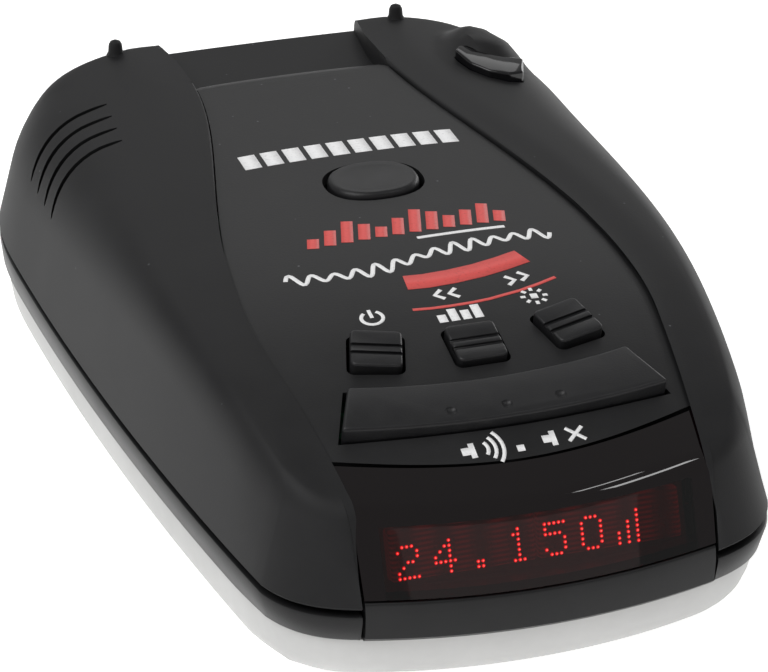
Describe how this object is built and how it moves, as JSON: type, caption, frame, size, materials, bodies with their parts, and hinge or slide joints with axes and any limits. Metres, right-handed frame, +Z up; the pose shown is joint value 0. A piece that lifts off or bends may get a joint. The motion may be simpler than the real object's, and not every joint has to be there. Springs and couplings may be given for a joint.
{
  "type": "radar detector",
  "caption": "Compact windshield-mounted radar detector: black wedge case on a grey tray, red character display behind a smoked lens, ribbed keys, a rocker bar and a bracket release button.",
  "frame": {"origin": "bottom centre of the bounding box, on the surface the case rests on", "axes": "-Y is the display end that faces the driver, +Y is the antenna end that faces the road, +Z is up, +X is right as the driver sees it"},
  "size_m": [0.0708, 0.1108, 0.0301],
  "materials": {
    "soft_black": "fine soft-touch coating on ABS",
    "panel_black": "fine moulded grain",
    "lens_red": "smoked red acrylic",
    "bezel_black": "satin moulded ABS",
    "strip_black": "satin moulded ABS",
    "case_grey": "light grey moulded ABS",
    "label_silver": "silver polyester label",
    "key_black": "satin moulded ABS",
    "board_green": "solder-masked glass epoxy",
    "switch_metal": "stamped steel cover",
    "latch_white": "acetal",
    "nickel": "nickel plated",
    "module_dark": "moulded epoxy",
    "zinc": "die-cast zinc",
    "tin": "tin plated sheet",
    "paper_black": "pressed paper",
    "ferrite": "ferrite and plated steel",
    "window_black": "infrared-passing acrylic",
    "connector_white": "nylon",
    "capacitor": "sleeved aluminium can",
    "jack_black": "moulded nylon",
    "screw_steel": "black zinc plated"
  },
  "bodies": {
    "case": {"case_screw_1": "screw_steel", "case_screw_2": "screw_steel", "case_screw_3": "screw_steel", "case_screw_4": "screw_steel", "city_switch": "switch_metal", "control_panel": "panel_black", "dim_switch": "switch_metal", "display_board": "board_green", "display_header": "connector_white", "display_module_left": "module_dark", "display_module_right": "module_dark", "earphone_jack": "jack_black", "filter_capacitor": "capacitor", "front_bezel": "bezel_black", "front_lens": "lens_red", "horn_antenna": "zinc", "key_board": "board_green", "laser_receiver": "module_dark", "latch_spring": "nickel", "lower_case": "case_grey", "main_board": "board_green", "mid_frame": "strip_black", "mount_channel": "bezel_black", "power_jack": "jack_black", "power_pin": "nickel", "power_switch": "switch_metal", "processor_chip": "module_dark", "rating_label": "label_silver", "sensor_window": "window_black", "shield_can": "tin", "speaker_cone": "paper_black", "speaker_frame": "tin", "speaker_magnet": "ferrite", "top_cover": "soft_black", "volume_switch_left": "switch_metal", "volume_switch_right": "switch_metal"},
    "power_key": {"power_key": "key_black"},
    "city_key": {"city_key": "key_black"},
    "dim_key": {"dim_key": "key_black"},
    "volume_bar": {"volume_bar": "key_black"},
    "release_button": {"release_button": "key_black"},
    "mount_latch": {"mount_latch": "latch_white"}
  },
  "joints": [
    {"name": "power_key_press", "type": "slide", "parent": "case", "child": "power_key", "axis": [0, -0.2134, 0.977], "range_m": [-0.0007, 0], "stiffness_N_per_m": 2500, "springref_m": 0.0002},
    {"name": "city_key_press", "type": "slide", "parent": "case", "child": "city_key", "axis": [0, -0.2134, 0.977], "range_m": [-0.0007, 0], "stiffness_N_per_m": 2500, "springref_m": 0.0002},
    {"name": "dim_key_press", "type": "slide", "parent": "case", "child": "dim_key", "axis": [0, -0.2134, 0.977], "range_m": [-0.0007, 0], "stiffness_N_per_m": 2500, "springref_m": 0.0002},
    {"name": "volume_bar_rock", "type": "hinge", "parent": "case", "child": "volume_bar", "pos_m": [0, -0.03866, 0.02232], "axis": [0, 0.977, 0.2134], "range_deg": [-2, 2], "stiffness_Nm_per_rad": 0.55},
    {"name": "release_button_press", "type": "slide", "parent": "case", "child": "release_button", "axis": [0, 0, 1], "range_m": [-0.0015, 0], "stiffness_N_per_m": 900, "springref_m": 0.0008},
    {"name": "mount_latch_drop", "type": "slide", "parent": "case", "child": "mount_latch", "axis": [0, 0, 1], "range_m": [-0.0015, 0], "deforming": ["latch_spring"]}
  ],
  "couplings": [
    {"joint": "mount_latch_drop", "follows": "release_button_press", "ratio": 1}
  ]
}
